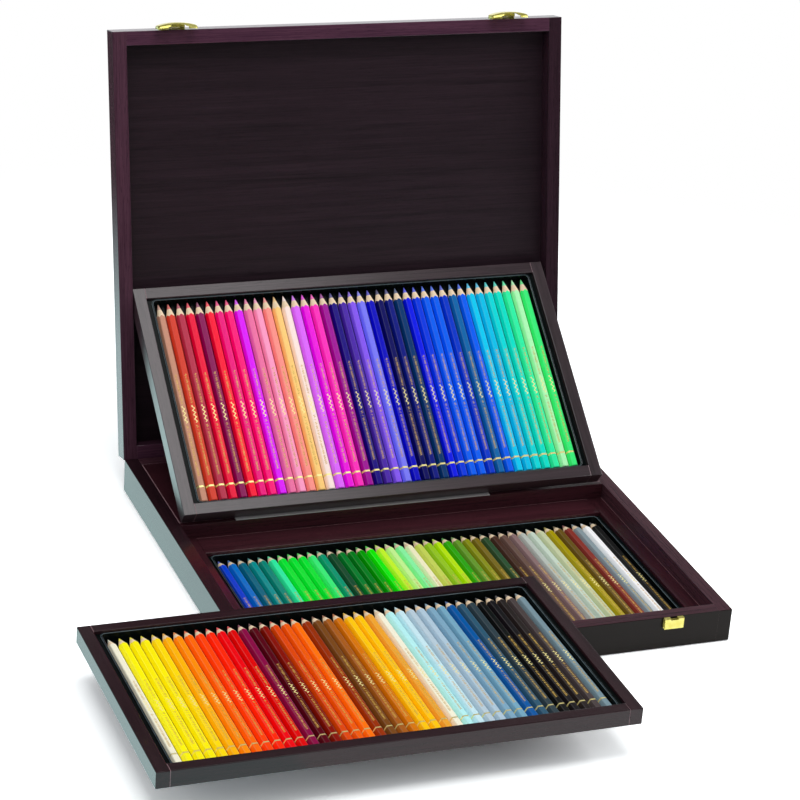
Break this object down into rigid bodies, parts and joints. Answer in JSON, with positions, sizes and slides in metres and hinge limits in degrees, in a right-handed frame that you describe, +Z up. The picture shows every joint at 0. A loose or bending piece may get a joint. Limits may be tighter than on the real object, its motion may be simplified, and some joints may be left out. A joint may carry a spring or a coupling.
{
  "type": "pencil box",
  "caption": "Flat wooden pencil box with its hinged lid open, lift-out pencil trays leaning in it and lying in front, a fixed lower tray of pencils, and brass clasps.",
  "frame": {"origin": "centre of the base's underside", "axes": "+X from the box's left to its right, +Y from its front to its back, +Z up"},
  "size_m": [0.489, 0.5669, 0.3646],
  "materials": {
    "dark_wood": "satin lacquer",
    "panel_wood": "satin lacquer",
    "black_plastic": "gloss",
    "pencil_wood": "gloss lacquer",
    "pencil_lead": "matt wax colour",
    "brass": "polished",
    "grip": "matt"
  },
  "bodies": {
    "base": {"base_back_wall": "dark_wood", "base_floor": "dark_wood", "base_front_wall": "dark_wood", "base_insert": "black_plastic", "base_leads": "pencil_lead", "base_left_wall": "dark_wood", "base_pencils": "pencil_wood", "base_right_wall": "dark_wood", "deck": "dark_wood", "foot_strip": "grip", "hinge_base_screws": "brass", "hinge_left_base_leaf": "brass", "hinge_pins": "brass", "hinge_right_base_leaf": "brass", "keeper_left": "brass", "keeper_pins": "brass", "keeper_right": "brass", "ledge_back": "dark_wood", "ledge_front": "dark_wood", "ledge_left": "dark_wood", "ledge_right": "dark_wood", "partition": "dark_wood"},
    "lid": {"clasp_axles": "brass", "clasp_left_plate": "brass", "clasp_pins": "brass", "clasp_right_plate": "brass", "hinge_left_lid_leaf": "brass", "hinge_lid_screws": "brass", "hinge_right_lid_leaf": "brass", "lid_back_rail": "dark_wood", "lid_front_rail": "dark_wood", "lid_left_stile": "dark_wood", "lid_panel": "panel_wood", "lid_right_stile": "dark_wood"},
    "left_lever": {"clasp_left_lever": "brass"},
    "right_lever": {"clasp_right_lever": "brass"},
    "leaning_tray": {"leaning_tray_back_board": "dark_wood", "leaning_tray_bottom": "panel_wood", "leaning_tray_front_board": "dark_wood", "leaning_tray_insert": "black_plastic", "leaning_tray_leads": "pencil_lead", "leaning_tray_left_board": "dark_wood", "leaning_tray_pencils": "pencil_wood", "leaning_tray_right_board": "dark_wood"},
    "front_tray": {"front_tray_back_board": "dark_wood", "front_tray_bottom": "panel_wood", "front_tray_front_board": "dark_wood", "front_tray_insert": "black_plastic", "front_tray_leads": "pencil_lead", "front_tray_left_board": "dark_wood", "front_tray_pencils": "pencil_wood", "front_tray_right_board": "dark_wood"}
  },
  "joints": [
    {"name": "lid_hinge", "type": "hinge", "parent": "base", "child": "lid", "pos_m": [0, 0.1698, 0.025], "axis": [1, 0, 0], "range_deg": [0, 102]},
    {"name": "leaning_tray_stow", "type": "hinge", "parent": "lid", "child": "leaning_tray", "pos_m": [0, 0.19898, 0.1538], "axis": [1, 0, 0], "range_deg": [-139.3, 0]},
    {"name": "front_tray_slide", "type": "slide", "parent": "base", "child": "front_tray", "axis": [0, -1, 0], "range_m": [0, 0.09]},
    {"name": "left_lever_hinge", "type": "hinge", "parent": "lid", "child": "left_lever", "pos_m": [-0.1386, 0.24656, 0.35822], "axis": [1, 0, 0], "range_deg": [-84.5, 5.5]},
    {"name": "right_lever_hinge", "type": "hinge", "parent": "lid", "child": "right_lever", "pos_m": [0.1386, 0.24656, 0.35822], "axis": [1, 0, 0], "range_deg": [-84.5, 5.5]}
  ],
  "couplings": [
    {"joint": "leaning_tray_stow", "follows": "lid_hinge", "ratio": -1.3645},
    {"joint": "front_tray_slide", "follows": "lid_hinge", "m_per_rad": 0.0505}
  ]
}
